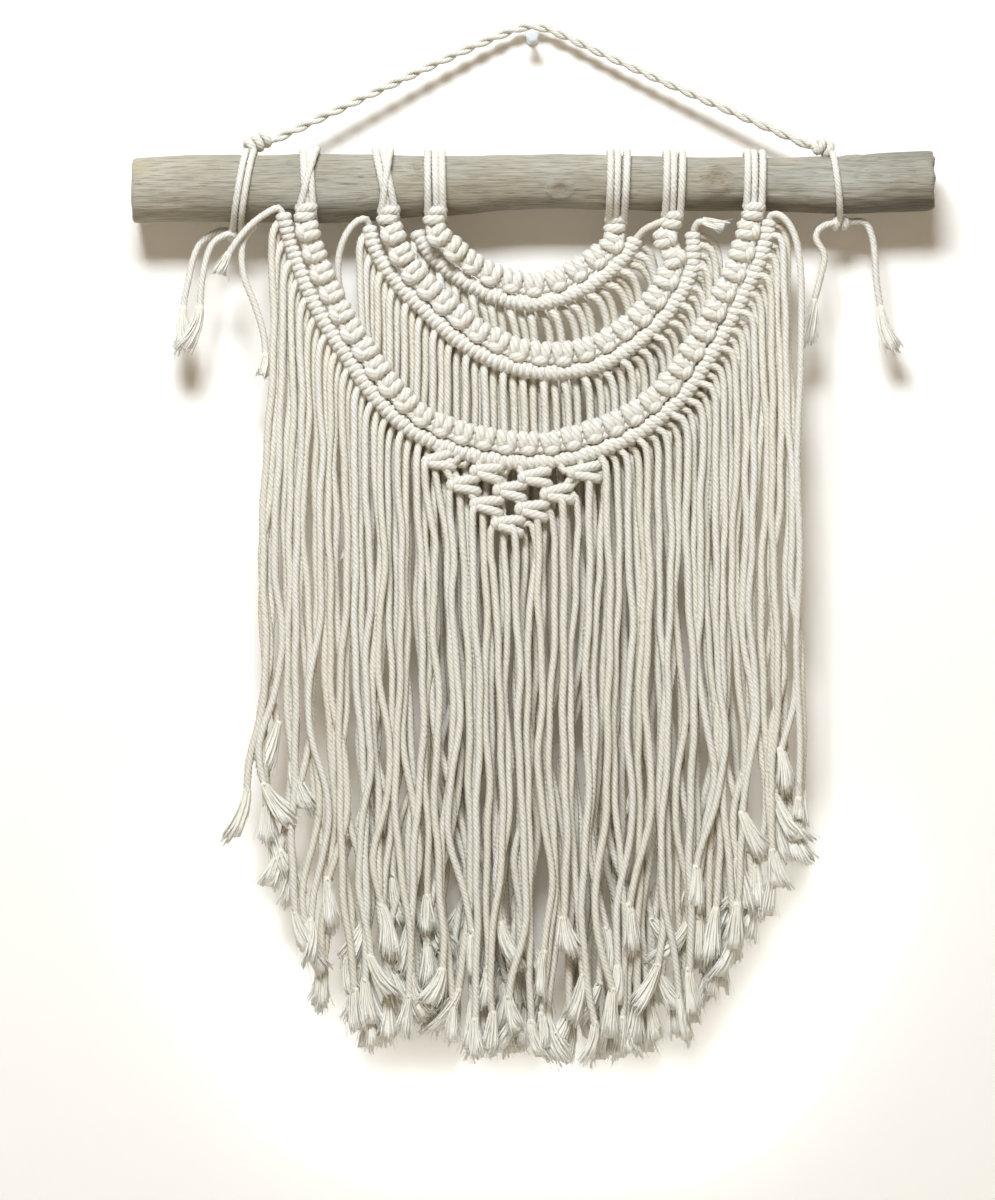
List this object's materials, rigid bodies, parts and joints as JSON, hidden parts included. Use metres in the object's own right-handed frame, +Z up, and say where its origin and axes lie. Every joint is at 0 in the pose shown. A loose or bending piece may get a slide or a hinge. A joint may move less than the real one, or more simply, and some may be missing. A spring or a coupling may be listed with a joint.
{
  "type": "macrame wall hanging on a driftwood stick",
  "caption": "Wall hanging of knotted cotton cord: nested crescents of square-knot sennit with long fringes, looped over a driftwood stick that hangs from a wall pin on a twisted rope.",
  "frame": {"origin": "middle of the push pin where it meets the wall", "axes": "+Z up along the wall, +Y into the wall, +X to the right as seen from the front"},
  "size_m": [0.4317, 0.0473, 0.5703],
  "materials": {
    "cotton_cord": "undyed twisted cotton cord",
    "driftwood": "weathered, unfinished",
    "pin": "glossy, pale"
  },
  "bodies": {
    "root": {"driftwood_stick": "driftwood", "wall_pin": "pin", "hanger_rope": "cotton_cord", "tie_left": "cotton_cord", "tie_right": "cotton_cord", "loop_outer_left": "cotton_cord", "loop_middle_left": "cotton_cord", "loop_inner_left": "cotton_cord", "loop_inner_right": "cotton_cord", "loop_middle_right": "cotton_cord", "loop_outer_right": "cotton_cord", "sennit_outer": "cotton_cord", "fringe_outer": "cotton_cord", "sennit_middle": "cotton_cord", "fringe_middle": "cotton_cord", "sennit_inner": "cotton_cord", "fringe_inner": "cotton_cord"}
  },
  "joints": []
}
